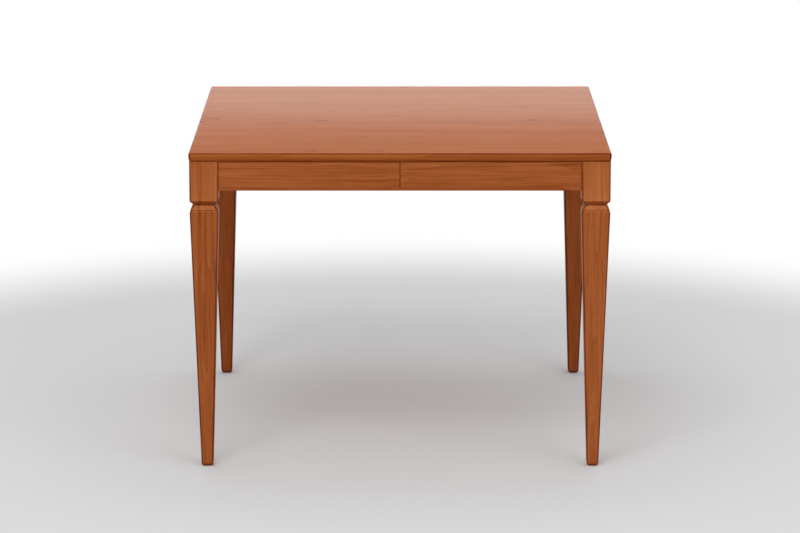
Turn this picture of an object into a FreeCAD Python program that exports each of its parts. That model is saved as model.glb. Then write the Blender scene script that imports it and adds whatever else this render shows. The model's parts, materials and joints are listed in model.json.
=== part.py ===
import FreeCAD, Part
import os
import Sketcher

# A square tavern table with two drawers side by side in its front apron.
# Origin at the middle of the floor under the table, +Z up, the drawer fronts towards -Y.

# Driving sizes in millimetres, and shares of the sizes that they follow
SIZES = {
    "top_width": 1000,
    "top_depth": 1000,
    "top_thickness": 20,
    "top_overhang": 1.5,
    "top_corner_radius": 5,
    "top_edge_radius": 4,
    "table_height": 770,
    "leg_size": 68,
    "leg_corner_radius": 4,
    "leg_block_height": 96,
    "collar_depth": 8.5,
    "collar_bevel_height": 8.7,
    "collar_neck_height": 1.5,
    "collar_flare_height": 10.5,
    "collar_lip_depth": 2.1,
    "collar_lip_height": 7.5,
    "foot_size": 28,
    "foot_bevel": 4,
    "apron_height": 70,
    "apron_thickness": 22,
    "apron_setback": 3,
    "arris_radius": 0.5,
    "tenon_thickness": 8,
    "tenon_length": 30,
    "tenon_low_shoulder": 6,
    "tenon_top_shoulder": 12,
    "tenon_end_gap": 1,
    "rail_thickness": 15,
    "rail_depth": 70,
    "rail_gap": 3,
    "rail_tail_length": 30,
    "rail_tail_neck_share": 0.6,
    "rail_tail_end_share": 0.8,
    "cross_rail_height": 66,
    "cross_rail_thickness": 22,
    "cross_tenon_thickness": 10,
    "cross_tenon_length": 8,
    "cross_tenon_lift": 8,
    "cross_tenon_height": 36,
    "partition_thickness": 18,
    "partition_drop": 4,
    "partition_tenon_thickness": 8,
    "partition_tenon_length": 8,
    "partition_tenon_lift": 14,
    "partition_tenon_height": 36,
    "batten_height": 40,
    "runner_height": 12,
    "runner_groove_depth": 6,
    "runner_clearance": 0.3,
    "runner_end_clearance": 0.5,
    "front_thickness": 20,
    "front_gap": 1.2,
    "front_top_gap": 0.8,
    "front_overhang": 10,
    "drawer_length": 488,
    "stop_clearance": 0.5,
    "side_thickness": 14,
    "side_lift": 8,
    "rail_clearance": 2,
    "side_tongue_length": 9,
    "side_tongue_neck_share": 0.55,
    "side_tongue_end_share": 0.8,
    "back_thickness": 12,
    "tail_margin": 1,
    "tail_flare": 1.5,
    "upper_tail_low_share": 0.31,
    "upper_tail_high_share": 0.77,
    "bottom_thickness": 5,
    "bottom_lift": 6,
    "bottom_groove_depth": 5,
    "bottom_clearance": 0.2,
    "bottom_edge_clearance": 0.5,
    "cove_radius": 5,
    "cove_lift": 6,
    "cove_length": 160,
    "stop_width": 40,
    "stop_thickness": 8,
    "stop_height": 30,
    "stop_rise": 10,
    "button_width": 26,
    "button_length": 36,
    "button_thickness": 16,
    "button_gap": 1,
    "button_groove_drop": 9,
    "button_groove_height": 6,
    "button_groove_depth": 6,
    "button_tongue_length": 5,
    "button_tongue_clearance": 0.2,
    "button_side_offset": 260,
    "button_back_offset": 260,
    "screw_head_radius": 4,
    "screw_head_height": 2.5,
    "screw_shank_radius": 1.75,
    "screw_clearance": 0.1,
    "screw_tip_gap": 0.5,
    "top_screw_bite": 12,
    "rail_screw_offset": 220,
    "drawer_screw_length": 17,
    "bottom_screw_offset": 110,
    "cut_overrun": 2,
}

doc = FreeCAD.newDocument("tavern_table")
dims = doc.addObject("Spreadsheet::Sheet", "dims")
for row, (size_name, size) in enumerate(SIZES.items(), start=1):
    dims.set(f"A{row}", size_name)
    dims.set(f"B{row}", str(size))
    dims.setAlias(f"B{row}", size_name)
doc.recompute()

# Places shared by several pieces: distances from the middle of the table, and heights over the floor
LEG_FACE_X = "(dims.top_width / 2 - dims.top_overhang)"
LEG_FACE_Y = "(dims.top_depth / 2 - dims.top_overhang)"
LEG_AXIS_X = f"({LEG_FACE_X} - dims.leg_size / 2)"
LEG_AXIS_Y = f"({LEG_FACE_Y} - dims.leg_size / 2)"
LEG_INSIDE_X = f"({LEG_FACE_X} - dims.leg_size)"
LEG_INSIDE_Y = f"({LEG_FACE_Y} - dims.leg_size)"
TOP_UNDERSIDE = "(dims.table_height - dims.top_thickness)"
APRON_LOW = f"({TOP_UNDERSIDE} - dims.apron_height)"
BLOCK_LOW = f"({TOP_UNDERSIDE} - dims.leg_block_height)"
NECK_TOP = f"({BLOCK_LOW} - dims.collar_bevel_height)"
NECK_LOW = f"({NECK_TOP} - dims.collar_neck_height)"
LIP = f"({NECK_LOW} - dims.collar_flare_height)"
TAPER_TOP = f"({LIP} - dims.collar_lip_height)"
APRON_FACE_X = f"({LEG_FACE_X} - dims.apron_setback)"
APRON_FACE_Y = f"({LEG_FACE_Y} - dims.apron_setback)"
APRON_INSIDE_X = f"({APRON_FACE_X} - dims.apron_thickness)"
APRON_INSIDE_Y = f"({APRON_FACE_Y} - dims.apron_thickness)"
APRON_MID_INSET = "(dims.apron_setback + dims.apron_thickness / 2)"

# The front rail and what runs beneath it, as distances in front of the table's middle
RAIL_FRONT_Y = f"({APRON_FACE_Y} - dims.front_thickness - dims.rail_gap)"
RAIL_BACK_Y = f"({RAIL_FRONT_Y} - dims.rail_depth)"
RAIL_MID_Y = f"({RAIL_FRONT_Y} - dims.rail_depth / 2)"
RAIL_LOW = f"({TOP_UNDERSIDE} - dims.rail_thickness)"
RAIL_TAIL_Y = f"(({RAIL_FRONT_Y} + {LEG_INSIDE_Y}) / 2)"
RAIL_TAIL_NECK = f"(({RAIL_FRONT_Y} - {LEG_INSIDE_Y}) * dims.rail_tail_neck_share / 2)"
RAIL_TAIL_END = f"(({RAIL_FRONT_Y} - {LEG_INSIDE_Y}) * dims.rail_tail_end_share / 2)"
BOX_REAR_Y = f"({APRON_FACE_Y} - dims.drawer_length)"
CROSS_FRONT_Y = f"({BOX_REAR_Y} - dims.stop_clearance)"
CROSS_LOW = f"({TOP_UNDERSIDE} - dims.cross_rail_height)"

# The drawers' width and the runner line
FRONT_HALF = f"(({LEG_INSIDE_X} - dims.front_gap * 3 / 2) / 2)"
DRAWER_MID_X = f"(({LEG_INSIDE_X} - dims.front_gap / 2) / 2)"
BOX_HALF = f"({FRONT_HALF} - dims.front_overhang)"
BOX_INSIDE = f"({BOX_HALF} - dims.side_thickness)"
SIDE_LOW = f"({APRON_LOW} + dims.side_lift)"
SIDE_TOP = f"({RAIL_LOW} - dims.rail_clearance)"
RUNNER_MID = f"(({SIDE_LOW} + {SIDE_TOP}) / 2)"
RUNNER_REACH = "(dims.runner_groove_depth - dims.runner_end_clearance)"
OUTER_RUNNER = f"({LEG_INSIDE_X} - {DRAWER_MID_X} - {BOX_HALF} + {RUNNER_REACH})"
INNER_RUNNER = f"({DRAWER_MID_X} - {BOX_HALF} - dims.partition_thickness / 2 + {RUNNER_REACH})"

# Screw places shared by the pieces that a screw passes through
HOLE_RADIUS = "(dims.screw_shank_radius + dims.screw_clearance)"
BUTTON_SCREW_X = f"({APRON_INSIDE_X} - dims.button_gap - dims.button_length / 2)"
BUTTON_SCREW_Y = f"({APRON_INSIDE_Y} - dims.button_gap - dims.button_length / 2)"
BUTTON_SCREWS = [
    (f"-{BUTTON_SCREW_X}", "-dims.button_side_offset", 0),
    (f"-{BUTTON_SCREW_X}", "dims.button_side_offset", 0),
    (BUTTON_SCREW_X, "-dims.button_side_offset", 180),
    (BUTTON_SCREW_X, "dims.button_side_offset", 180),
    ("-dims.button_back_offset", BUTTON_SCREW_Y, 270),
    ("dims.button_back_offset", BUTTON_SCREW_Y, 270),
]
RAIL_SCREWS = [(f"{sign} * dims.rail_screw_offset", f"-{RAIL_MID_Y}") for sign in (-1, 1)]


def number(expression):
    """Value of an expression on the sheet, in millimetres."""
    value = dims.evalExpression(expression)
    return float(getattr(value, "Value", value))


def new_body(label):
    """Empty body that becomes one piece of the table."""
    body = doc.addObject("PartDesign::Body", label)
    body.Label = label
    return body


def place(piece, x, y, z):
    """Bind the piece's place in the table to expressions."""
    for axis, expression in zip("xyz", (x, y, z)):
        piece.setExpression(f"Placement.Base.{axis}", expression)


def new_sketch(body, name, plane, level):
    """Sketch on one of the body's own planes, moved along its normal to a level."""
    sketch = body.newObject("Sketcher::SketchObject", f"{body.Name}_{name}")
    support = next(item for item in body.Origin.OriginFeatures if item.Role == plane)
    sketch.AttachmentSupport = [(support, "")]
    sketch.MapMode = "FlatFace"
    sketch.setExpression("AttachmentOffset.Base.z", level)
    return sketch


def bind(sketch, constraint, expression):
    """Add a constraint whose size follows an expression."""
    index = sketch.addConstraint(constraint)
    sketch.setExpression(f"Constraints[{index}]", expression)


def outline(sketch, corners):
    """Closed straight-sided outline through corners given as pairs of expressions."""
    first = sketch.GeometryCount
    count = len(corners)
    points = [FreeCAD.Vector(number(x), number(y), 0) for x, y in corners]
    for step in range(count):
        sketch.addGeometry(Part.LineSegment(points[step], points[(step + 1) % count]), False)
    for step in range(count):
        line = first + step
        sketch.addConstraint(Sketcher.Constraint("Coincident", line, 2, first + (step + 1) % count, 1))
        for kind, expression in zip(("DistanceX", "DistanceY"), corners[step]):
            bind(sketch, Sketcher.Constraint(kind, -1, 1, line, 1, number(expression)), expression)


def rectangle(sketch, across, up):
    """Rectangle between two pairs of expressions."""
    outline(sketch, [(across[0], up[0]), (across[1], up[0]), (across[1], up[1]), (across[0], up[1])])


def rounded_rectangle(sketch, width, depth, radius):
    """Rectangle about the sketch's origin, with four round corners."""
    half_width = number(width) / 2
    half_depth = number(depth) / 2
    corner = number(radius)
    far_x = half_width - corner
    far_y = half_depth - corner
    vector = FreeCAD.Vector
    upright = vector(0, 0, 1)
    turn = FreeCAD.Units.Quantity("90 deg").getValueAs("rad").Value
    ends = [
        (vector(-far_x, -half_depth), vector(far_x, -half_depth)),
        (vector(half_width, -far_y), vector(half_width, far_y)),
        (vector(far_x, half_depth), vector(-far_x, half_depth)),
        (vector(-half_width, far_y), vector(-half_width, -far_y)),
    ]
    centres = [vector(far_x, -far_y), vector(far_x, far_y), vector(-far_x, far_y), vector(-far_x, -far_y)]
    for side, (start, end) in enumerate(ends):
        sketch.addGeometry(Part.LineSegment(start, end), False)
        round_corner = Part.Circle(centres[side], upright, corner)
        sketch.addGeometry(Part.ArcOfCircle(round_corner, (side - 1) * turn, side * turn), False)
    for side in range(4):
        line = side * 2
        arc = line + 1
        sketch.addConstraint(Sketcher.Constraint("Tangent", line, 2, arc, 1))
        sketch.addConstraint(Sketcher.Constraint("Tangent", arc, 2, (line + 2) % 8, 1))
        sketch.addConstraint(Sketcher.Constraint("Vertical" if side % 2 else "Horizontal", line))
        bind(sketch, Sketcher.Constraint("Radius", arc, corner), radius)
    bind(sketch, Sketcher.Constraint("DistanceY", -1, 1, 0, 1, -half_depth), f"-({depth}) / 2")
    bind(sketch, Sketcher.Constraint("DistanceX", -1, 1, 2, 1, half_width), f"({width}) / 2")
    bind(sketch, Sketcher.Constraint("DistanceY", -1, 1, 4, 1, half_depth), f"({depth}) / 2")
    bind(sketch, Sketcher.Constraint("DistanceX", -1, 1, 6, 1, -half_width), f"-({width}) / 2")


def pad(body, sketch, length):
    """Raise the sketch along its normal."""
    feature = body.newObject("PartDesign::Pad", f"{sketch.Name}_pad")
    feature.Profile = sketch
    feature.setExpression("Length", length)
    doc.recompute()
    return feature


def pocket(body, sketch, depth, forwards=False):
    """Cut the sketch against its normal, or along it, and make sure that wood went."""
    volume = body.Shape.Volume
    feature = body.newObject("PartDesign::Pocket", f"{sketch.Name}_pocket")
    feature.Profile = sketch
    feature.setExpression("Length", depth)
    feature.Reversed = forwards
    doc.recompute()
    if not body.Shape.Volume < volume:
        raise RuntimeError(f"{feature.Name} cuts nothing")
    return feature


def block(body, name, x, y, z):
    """Add a block between pairs of expressions."""
    sketch = new_sketch(body, name, "XY_Plane", z[0])
    rectangle(sketch, x, y)
    return pad(body, sketch, f"{z[1]} - ({z[0]})")


def slot(body, name, x, y, z):
    """Cut away a block between pairs of expressions."""
    sketch = new_sketch(body, name, "XY_Plane", z[1])
    rectangle(sketch, x, y)
    return pocket(body, sketch, f"{z[1]} - ({z[0]})")


def bore(body, name, plane, level, centres, radius, depth, forwards=False):
    """Drill round holes square to one of the body's planes, starting at a level."""
    sketch = new_sketch(body, name, plane, level)
    for hole, centre in enumerate(centres):
        middle = FreeCAD.Vector(number(centre[0]), number(centre[1]), 0)
        sketch.addGeometry(Part.Circle(middle, FreeCAD.Vector(0, 0, 1), number(radius)), False)
        bind(sketch, Sketcher.Constraint("Radius", hole, number(radius)), radius)
        bind(sketch, Sketcher.Constraint("DistanceX", -1, 1, hole, 3, middle.x), centre[0])
        bind(sketch, Sketcher.Constraint("DistanceY", -1, 1, hole, 3, middle.y), centre[1])
    return pocket(body, sketch, depth, forwards)


def round_edges(body, feature, radius, chosen):
    """Round the edges of a feature that the chosen rule picks by their vertices."""
    edges = feature.Shape.Edges
    names = [
        f"Edge{index}"
        for index, edge in enumerate(edges, start=1)
        if chosen([vertex.Point for vertex in edge.Vertexes])
    ]
    fillet = body.newObject("PartDesign::Fillet", f"{body.Name}_rounding")
    fillet.Base = (feature, names)
    fillet.setExpression("Radius", radius)
    doc.recompute()
    return fillet


def at_level(axis, *expressions):
    """Rule for edges that lie wholly in one of some planes square to an axis."""
    levels = [number(expression) for expression in expressions]

    def lies_there(points):
        return any(
            all(abs(getattr(point, axis) - level) < Part.Precision.confusion() for point in points)
            for level in levels
        )

    return lies_there


def joins_levels(axis, first, second):
    """Rule for edges that run from one level along an axis to another."""
    levels = sorted((number(first), number(second)))

    def runs_between(points):
        heights = sorted(getattr(point, axis) for point in points)
        pairs = zip(heights, levels)
        return len(heights) == 2 and all(abs(a - b) < Part.Precision.confusion() for a, b in pairs)

    return runs_between


def group(label, members):
    """Several separate solids that share one node."""
    compound = doc.addObject("Part::Compound", label)
    compound.Label = label
    compound.Links = members
    doc.recompute()
    return compound


def screw(name, seat, direction, length):
    """Round-headed wood screw, its head's underside at the seat, driven along a direction."""
    head = doc.addObject("Part::Cylinder", f"{name}_head")
    head.setExpression("Radius", "dims.screw_head_radius")
    head.setExpression("Height", "dims.screw_head_height")
    head.setExpression("Placement.Base.z", "-dims.screw_head_height")
    shank = doc.addObject("Part::Cylinder", f"{name}_shank")
    shank.setExpression("Radius", "dims.screw_shank_radius")
    shank.setExpression("Height", length)
    whole = doc.addObject("Part::Fuse", name)
    whole.Base = head
    whole.Tool = shank
    turned = FreeCAD.Rotation(FreeCAD.Vector(0, 0, 1), FreeCAD.Vector(*direction))
    whole.Placement = FreeCAD.Placement(FreeCAD.Vector(), turned)
    place(whole, *seat)
    return whole


def table_top():
    """One board with rounded edges, drilled below for the screws that hold it."""
    body = new_body("table_top")
    place(body, "0", "0", TOP_UNDERSIDE)
    sketch = new_sketch(body, "outline", "XY_Plane", "0")
    rounded_rectangle(sketch, "dims.top_width", "dims.top_depth", "dims.top_corner_radius")
    board = pad(body, sketch, "dims.top_thickness")
    round_edges(body, board, "dims.top_edge_radius", at_level("z", "0", "dims.top_thickness"))
    centres = [(x, y) for x, y, turn in BUTTON_SCREWS] + RAIL_SCREWS
    depth = "dims.top_screw_bite + dims.screw_tip_gap"
    bore(body, "pilots", "XY_Plane", "0", centres, HOLE_RADIUS, depth, forwards=True)
    return body


def leg_profile():
    """Half width and height of the leg from the top of its block to the floor."""
    half = "dims.leg_size / 2"
    neck = f"({half} - dims.collar_depth)"
    return [
        (half, TOP_UNDERSIDE),
        (half, BLOCK_LOW),
        (neck, NECK_TOP),
        (neck, NECK_LOW),
        (f"({half} - dims.collar_lip_depth)", LIP),
        (half, TAPER_TOP),
        ("dims.foot_size / 2", "dims.foot_bevel"),
        ("(dims.foot_size / 2 - dims.foot_bevel)", "0"),
    ]


def leg(label, side, end):
    """Tapered leg under a square block with a collar, cut for the rails and aprons that meet it."""
    body = new_body(label)
    place(body, f"{side} * {LEG_AXIS_X}", f"{end} * {LEG_AXIS_Y}", "0")
    right = leg_profile()
    left = [(f"-{x}", z) for x, z in reversed(right)]
    sketch = new_sketch(body, "front_profile", "XZ_Plane", "-dims.leg_size / 2")
    outline(sketch, right + left)
    pad(body, sketch, "dims.leg_size")
    outside = "(dims.leg_size / 2 + dims.cut_overrun)"
    foot = right[-1][0]
    waste = right[1:] + [(foot, "-dims.cut_overrun"), (outside, "-dims.cut_overrun"), (outside, BLOCK_LOW)]
    sketch = new_sketch(body, "side_waste", "YZ_Plane", outside)
    outline(sketch, waste)
    outline(sketch, [(f"-{y}", z) for y, z in waste])
    shaped = pocket(body, sketch, f"{outside} * 2")
    block_edges = joins_levels("z", TOP_UNDERSIDE, BLOCK_LOW)
    taper_edges = joins_levels("z", TAPER_TOP, "dims.foot_bevel")
    round_edges(body, shaped, "dims.leg_corner_radius", lambda ends: block_edges(ends) or taper_edges(ends))
    heights = (f"{APRON_LOW} + dims.tenon_low_shoulder", f"({TOP_UNDERSIDE} - dims.tenon_top_shoulder)")
    mortise_floor = "(dims.leg_size / 2 - dims.tenon_length - dims.tenon_end_gap)"
    middle = f"(dims.leg_size / 2 - {APRON_MID_INSET})"
    across = (f"({middle} - dims.tenon_thickness / 2)", f"({middle} + dims.tenon_thickness / 2)")
    along = [f"{-end} * {mortise_floor}", f"{-end} * {outside}"]
    slot(body, "side_mortise", [f"{side} * {edge}" for edge in across], along, heights)
    if end > 0:
        along = [f"{-side} * {mortise_floor}", f"{-side} * {outside}"]
        slot(body, "back_mortise", along, [f"{end} * {edge}" for edge in across], heights)
    else:
        rail_socket(body, side)
    return body


def rail_socket(body, side):
    """Lap-dovetail socket in the top of a front leg for the end of the front rail."""
    face = f"{-side} * dims.leg_size / 2"
    outside = f"{-side} * (dims.leg_size / 2 + dims.cut_overrun)"
    inside = f"{-side} * (dims.leg_size / 2 - dims.rail_tail_length)"
    middle = f"({LEG_AXIS_Y} - {RAIL_TAIL_Y})"
    sketch = new_sketch(body, "rail_socket", "XY_Plane", TOP_UNDERSIDE)
    outline(sketch, [
        (outside, f"{middle} - {RAIL_TAIL_NECK}"),
        (face, f"{middle} - {RAIL_TAIL_NECK}"),
        (inside, f"{middle} - {RAIL_TAIL_END}"),
        (inside, f"{middle} + {RAIL_TAIL_END}"),
        (face, f"{middle} + {RAIL_TAIL_NECK}"),
        (outside, f"{middle} + {RAIL_TAIL_NECK}"),
    ])
    pocket(body, sketch, "dims.rail_thickness")


TENON_HEIGHTS = ("dims.tenon_low_shoulder", "(dims.apron_height - dims.tenon_top_shoulder)")
GROOVE_HEIGHTS = (
    "(dims.apron_height - dims.button_groove_drop - dims.button_groove_height)",
    "(dims.apron_height - dims.button_groove_drop)",
)
TENON_NEAR = "(dims.apron_thickness - dims.tenon_thickness) / 2"
TENON_FAR = "(dims.apron_thickness + dims.tenon_thickness) / 2"
GROOVE_FLOOR = "(dims.apron_thickness - dims.button_groove_depth)"
GROOVE_MOUTH = "(dims.apron_thickness + dims.cut_overrun)"


def side_apron(label, side):
    """Board between a front and a back leg, with tenons, button groove and cross rail housing."""
    body = new_body(label)
    place(body, f"{side} * {APRON_FACE_X}", "0", APRON_LOW)
    inwards = f"{-side} * dims.apron_thickness"
    length = (f"-{LEG_INSIDE_Y}", LEG_INSIDE_Y)
    board = block(body, "board", ("0", inwards), length, ("0", "dims.apron_height"))

    def long_lower_edge(points):
        low = at_level("z", "0")(points)
        return low and at_level("x", "0", inwards)(points)

    round_edges(body, board, "dims.arris_radius", long_lower_edge)
    reach = (f"-({LEG_INSIDE_Y} + dims.tenon_length)", f"{LEG_INSIDE_Y} + dims.tenon_length")
    block(body, "tenons", (f"{-side} * {TENON_NEAR}", f"{-side} * {TENON_FAR}"), reach, TENON_HEIGHTS)
    through = (f"-({LEG_INSIDE_Y} + dims.cut_overrun)", f"{LEG_INSIDE_Y} + dims.cut_overrun")
    groove = (f"{-side} * {GROOVE_FLOOR}", f"{-side} * {GROOVE_MOUTH}")
    slot(body, "button_groove", groove, through, GROOVE_HEIGHTS)
    housing_floor = "(dims.apron_thickness - dims.cross_tenon_length - dims.tenon_end_gap)"
    housing = (f"{-side} * {housing_floor}", f"{-side} * {GROOVE_MOUTH}")
    middle = f"(dims.cross_rail_thickness / 2 - {CROSS_FRONT_Y})"
    width = (f"{middle} - dims.cross_tenon_thickness / 2", f"{middle} + dims.cross_tenon_thickness / 2")
    low = f"({CROSS_LOW} - {APRON_LOW} + dims.cross_tenon_lift)"
    slot(body, "cross_housing", housing, width, (low, f"({low} + dims.cross_tenon_height)"))
    return body


def back_apron():
    """Board between the back legs, with tenons and the button groove."""
    body = new_body("back_apron")
    place(body, "0", APRON_FACE_Y, APRON_LOW)
    length = (f"-{LEG_INSIDE_X}", LEG_INSIDE_X)
    board = block(body, "board", length, ("-dims.apron_thickness", "0"), ("0", "dims.apron_height"))

    def long_lower_edge(points):
        low = at_level("z", "0")(points)
        return low and at_level("y", "0", "-dims.apron_thickness")(points)

    round_edges(body, board, "dims.arris_radius", long_lower_edge)
    reach = (f"-({LEG_INSIDE_X} + dims.tenon_length)", f"{LEG_INSIDE_X} + dims.tenon_length")
    block(body, "tenons", reach, (f"-{TENON_FAR}", f"-{TENON_NEAR}"), TENON_HEIGHTS)
    through = (f"-({LEG_INSIDE_X} + dims.cut_overrun)", f"{LEG_INSIDE_X} + dims.cut_overrun")
    slot(body, "button_groove", through, (f"-{GROOVE_MOUTH}", f"-{GROOVE_FLOOR}"), GROOVE_HEIGHTS)
    return body


def front_rail():
    """Flat rail behind the drawer fronts, with a dovetail at each end that drops into the legs."""
    body = new_body("front_rail")
    place(body, "0", "0", RAIL_LOW)
    end = f"({LEG_INSIDE_X} + dims.rail_tail_length)"
    tail = [
        (LEG_INSIDE_X, f"-{RAIL_TAIL_Y} - {RAIL_TAIL_NECK}"),
        (end, f"-{RAIL_TAIL_Y} - {RAIL_TAIL_END}"),
        (end, f"-{RAIL_TAIL_Y} + {RAIL_TAIL_END}"),
        (LEG_INSIDE_X, f"-{RAIL_TAIL_Y} + {RAIL_TAIL_NECK}"),
    ]
    right = [(LEG_INSIDE_X, f"-{RAIL_FRONT_Y}")] + tail + [(LEG_INSIDE_X, f"-{RAIL_BACK_Y}")]
    left = [(f"-{x}", y) for x, y in reversed(right)]
    sketch = new_sketch(body, "outline", "XY_Plane", "0")
    outline(sketch, right + left)
    thickness = "dims.rail_thickness"
    pad(body, sketch, thickness)
    bore(body, "screw_holes", "XY_Plane", thickness, RAIL_SCREWS, HOLE_RADIUS, thickness)
    return body


PARTITION_TENON_X = ("-dims.partition_tenon_thickness / 2", "dims.partition_tenon_thickness / 2")
PARTITION_TENON_LOW = f"({APRON_LOW} + dims.partition_tenon_lift)"


def cross_rail():
    """Board across the middle of the frame, housed in the side aprons, where the drawers stop."""
    body = new_body("cross_rail")
    place(body, "0", f"-{CROSS_FRONT_Y}", CROSS_LOW)
    length = (f"-{APRON_INSIDE_X}", APRON_INSIDE_X)
    block(body, "board", length, ("0", "dims.cross_rail_thickness"), ("0", "dims.cross_rail_height"))
    tip = f"({APRON_INSIDE_X} + dims.cross_tenon_length)"
    near = "(dims.cross_rail_thickness - dims.cross_tenon_thickness) / 2"
    far = "(dims.cross_rail_thickness + dims.cross_tenon_thickness) / 2"
    heights = ("dims.cross_tenon_lift", "(dims.cross_tenon_lift + dims.cross_tenon_height)")
    block(body, "tenons", (f"-{tip}", tip), (near, far), heights)
    low = f"({PARTITION_TENON_LOW} - {CROSS_LOW})"
    depth = ("-dims.cut_overrun", "dims.partition_tenon_length + dims.tenon_end_gap")
    heights = (low, f"({low} + dims.partition_tenon_height)")
    slot(body, "partition_mortise", PARTITION_TENON_X, depth, heights)
    return body


def centre_partition():
    """Upright behind the gap between the drawers, notched under the front rail, tenoned into the cross rail.

    It hangs a little lower than the aprons, so that no light shows through the foot of the gap.
    """
    body = new_body("centre_partition")
    place(body, "0", "0", APRON_LOW)
    thickness = ("-dims.partition_thickness / 2", "dims.partition_thickness / 2")
    height = "dims.apron_height"
    heights = ("-dims.partition_drop", height)
    block(body, "board", thickness, (f"-{RAIL_FRONT_Y}", f"-{CROSS_FRONT_Y}"), heights)
    low = "dims.partition_tenon_lift"
    reach = (f"-{RAIL_BACK_Y}", f"-{CROSS_FRONT_Y} + dims.partition_tenon_length")
    block(body, "tenon", PARTITION_TENON_X, reach, (low, f"({low} + dims.partition_tenon_height)"))
    seat = f"({RAIL_LOW} - {APRON_LOW})"
    wide = (
        "-(dims.partition_thickness / 2 + dims.cut_overrun)",
        "dims.partition_thickness / 2 + dims.cut_overrun",
    )
    notch = (f"-({RAIL_FRONT_Y} + dims.cut_overrun)", f"-{RAIL_BACK_Y}")
    slot(body, "rail_notch", wide, notch, (seat, f"({height} + dims.cut_overrun)"))
    return body


def batten(label, side):
    """Batten that fills out a side apron to the legs' inner faces, behind the outer runner."""
    body = new_body(label)
    place(body, f"{side} * {APRON_INSIDE_X}", "0", RUNNER_MID)
    width = f"({APRON_INSIDE_X} - {LEG_INSIDE_X})"
    face = f"{-side} * {width}"
    heights = ("-dims.batten_height / 2", "dims.batten_height / 2")
    block(body, "board", ("0", face), (f"-{LEG_INSIDE_Y}", f"-{CROSS_FRONT_Y}"), heights)
    return body


def runner(label, seat, thickness, outwards):
    """Strip that a drawer side's groove runs on, glued to what stands behind it."""
    body = new_body(label)
    place(body, seat, "0", RUNNER_MID)
    face = f"{outwards} * {thickness}"
    heights = ("-dims.runner_height / 2", "dims.runner_height / 2")
    block(body, "strip", ("0", face), (f"-{RAIL_FRONT_Y}", f"-{CROSS_FRONT_Y}"), heights)
    return body


def top_button(name, x, y, turn):
    """Wooden button, screwed up into the top, its tongue in an apron's groove."""
    body = new_body(name)
    body.Placement = FreeCAD.Placement(FreeCAD.Vector(), FreeCAD.Rotation(FreeCAD.Vector(0, 0, 1), turn))
    place(body, x, y, TOP_UNDERSIDE)
    near = "-dims.button_length / 2"
    tip = f"{near} - dims.button_gap - dims.button_tongue_length"
    tongue_top = "-(dims.button_groove_drop + dims.button_tongue_clearance)"
    tongue_low = "-(dims.button_groove_drop + dims.button_groove_height - dims.button_tongue_clearance)"
    sketch = new_sketch(body, "side", "XZ_Plane", "-dims.button_width / 2")
    outline(sketch, [
        (near, "0"),
        (near, tongue_top),
        (tip, tongue_top),
        (tip, tongue_low),
        (near, tongue_low),
        (near, "-dims.button_thickness"),
        ("dims.button_length / 2", "-dims.button_thickness"),
        ("dims.button_length / 2", "0"),
    ])
    pad(body, sketch, "dims.button_width")
    bore(body, "screw_hole", "XY_Plane", "0", [("0", "0")], HOLE_RADIUS, "dims.button_thickness")
    return body


# Heights and depths inside a drawer, from its front's lower edge and its front face
SIDE_HEAD = f"({SIDE_TOP} - {APRON_LOW})"
RUNNER_LINE = f"({RUNNER_MID} - {APRON_LOW})"
BOTTOM_FACE = "(dims.side_lift + dims.bottom_lift)"
BOTTOM_TOP = f"({BOTTOM_FACE} + dims.bottom_thickness)"
BOTTOM_GROOVE = (BOTTOM_FACE, f"({BOTTOM_TOP} + dims.bottom_clearance)")
BACK_FACE = "(dims.drawer_length - dims.back_thickness)"
BACK_MID = "(dims.drawer_length - dims.back_thickness / 2)"
PAST_REAR = "(dims.drawer_length + dims.cut_overrun)"
STOP_FACE = f"({BACK_FACE} - dims.stop_thickness)"
STOP_TOP = f"({SIDE_HEAD} + dims.stop_rise)"
SIDE_MID = f"({BOX_HALF} - dims.side_thickness / 2)"
TONGUE_NECK = "(dims.side_thickness * dims.side_tongue_neck_share / 2)"
TONGUE_END = "(dims.side_thickness * dims.side_tongue_end_share / 2)"
TONGUE_TIP = "(dims.front_thickness - dims.side_tongue_length)"
BOTTOM_SCREWS_X = ("-dims.bottom_screw_offset", "dims.bottom_screw_offset")

# The dovetails at the back corners: the lower tail takes in the runner's groove
LOWER_TAIL_HALF = "(dims.runner_height / 2 + dims.runner_clearance + dims.tail_margin)"
LOWER_TAIL_TOP = f"({RUNNER_LINE} + {LOWER_TAIL_HALF})"
ABOVE_LOWER_TAIL = f"({SIDE_HEAD} - {LOWER_TAIL_TOP})"
TAILS = [
    (f"({RUNNER_LINE} - {LOWER_TAIL_HALF})", LOWER_TAIL_TOP),
    (
        f"({LOWER_TAIL_TOP} + {ABOVE_LOWER_TAIL} * dims.upper_tail_low_share)",
        f"({LOWER_TAIL_TOP} + {ABOVE_LOWER_TAIL} * dims.upper_tail_high_share)",
    ),
]


def tail_edge(height, flare):
    """Slanted edge of a tail from its root past the drawer's rear end."""
    wide = f"{height} + {flare} * dims.tail_flare"
    return [(BACK_FACE, height), ("dims.drawer_length", wide), (PAST_REAR, wide)]


def drawer_body(label, side):
    """Body placed at the lower middle of a drawer's front face."""
    body = new_body(label)
    place(body, f"{side} * {DRAWER_MID_X}", f"-{APRON_FACE_Y}", APRON_LOW)
    return body


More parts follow.
